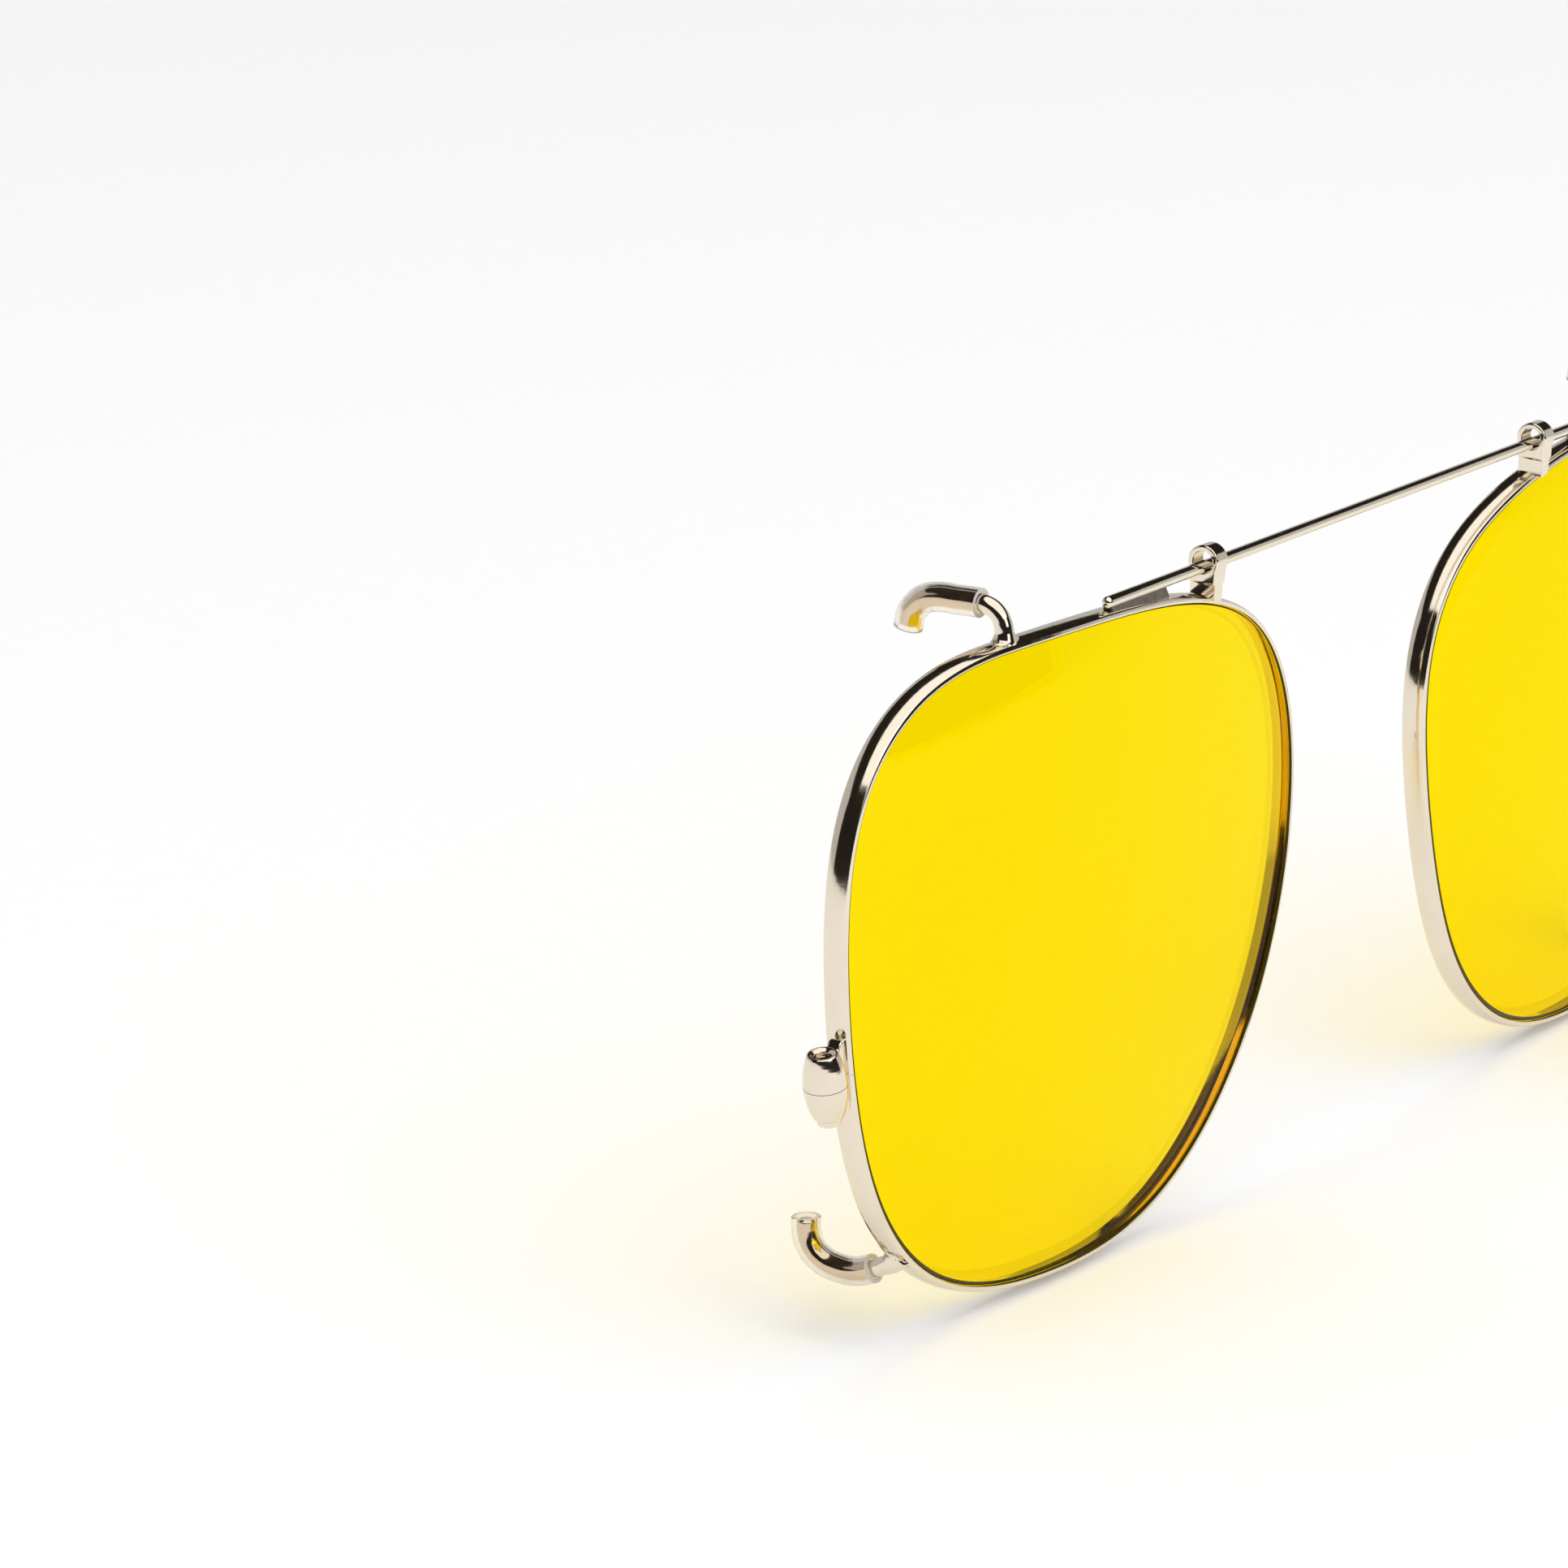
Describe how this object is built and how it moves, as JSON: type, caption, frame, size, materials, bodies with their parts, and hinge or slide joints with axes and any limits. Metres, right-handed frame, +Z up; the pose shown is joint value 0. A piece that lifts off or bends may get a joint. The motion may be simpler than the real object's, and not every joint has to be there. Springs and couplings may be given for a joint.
{
  "type": "clip-on lens pair",
  "caption": "Clip-on yellow lens pair: metal rims joined by a spring wire along the top, with sleeved hooks that grip a spectacle front.",
  "frame": {"origin": "midway between the two lenses, level with the front vertices of the lenses", "axes": "+X from the left lens to the right lens as seen from the front, +Y back towards the spectacles, +Z up"},
  "size_m": [0.1274, 0.0126, 0.0471],
  "materials": {
    "nickel_plate": "polished nickel plating, faintly warm",
    "yellow_lens": "tinted, polished, clear yellow",
    "clear_sleeve": "clear soft vinyl, slightly cream"
  },
  "bodies": {
    "bridge_wire": {"bridge_wire": "nickel_plate"},
    "left_wire_end": {"left_wire_end": "nickel_plate"},
    "left_half": {"left_rim": "nickel_plate", "left_lens": "yellow_lens", "left_loop": "nickel_plate", "left_wire_braze": "nickel_plate", "left_closing_block_upper": "nickel_plate", "left_closing_block_lower": "nickel_plate", "left_closing_screw": "nickel_plate", "left_upper_hook": "nickel_plate", "left_lower_hook": "nickel_plate", "left_upper_sleeve": "clear_sleeve", "left_lower_sleeve": "clear_sleeve"},
    "right_wire_end": {"right_wire_end": "nickel_plate"},
    "right_half": {"right_rim": "nickel_plate", "right_lens": "yellow_lens", "right_loop": "nickel_plate", "right_wire_braze": "nickel_plate", "right_closing_block_upper": "nickel_plate", "right_closing_block_lower": "nickel_plate", "right_closing_screw": "nickel_plate", "right_upper_hook": "nickel_plate", "right_lower_hook": "nickel_plate", "right_upper_sleeve": "clear_sleeve", "right_lower_sleeve": "clear_sleeve"}
  },
  "joints": [
    {"name": "left_spread", "type": "hinge", "parent": "bridge_wire", "child": "left_wire_end", "pos_m": [-0.0281, 0.00325, 0.02242], "axis": [0, 1, 0], "range_deg": [0, 4.5], "stiffness_Nm_per_rad": 0.15},
    {"name": "left_tilt", "type": "hinge", "parent": "left_wire_end", "child": "left_half", "pos_m": [-0.0281, 0.00325, 0.02242], "axis": [-1, 0, 0], "range_deg": [-20, 20], "stiffness_Nm_per_rad": 0.11},
    {"name": "right_spread", "type": "hinge", "parent": "bridge_wire", "child": "right_wire_end", "pos_m": [0.0281, 0.00325, 0.02242], "axis": [0, -1, 0], "range_deg": [0, 4.5], "stiffness_Nm_per_rad": 0.15},
    {"name": "right_tilt", "type": "hinge", "parent": "right_wire_end", "child": "right_half", "pos_m": [0.0281, 0.00325, 0.02242], "axis": [-1, 0, 0], "range_deg": [-20, 20], "stiffness_Nm_per_rad": 0.11}
  ]
}
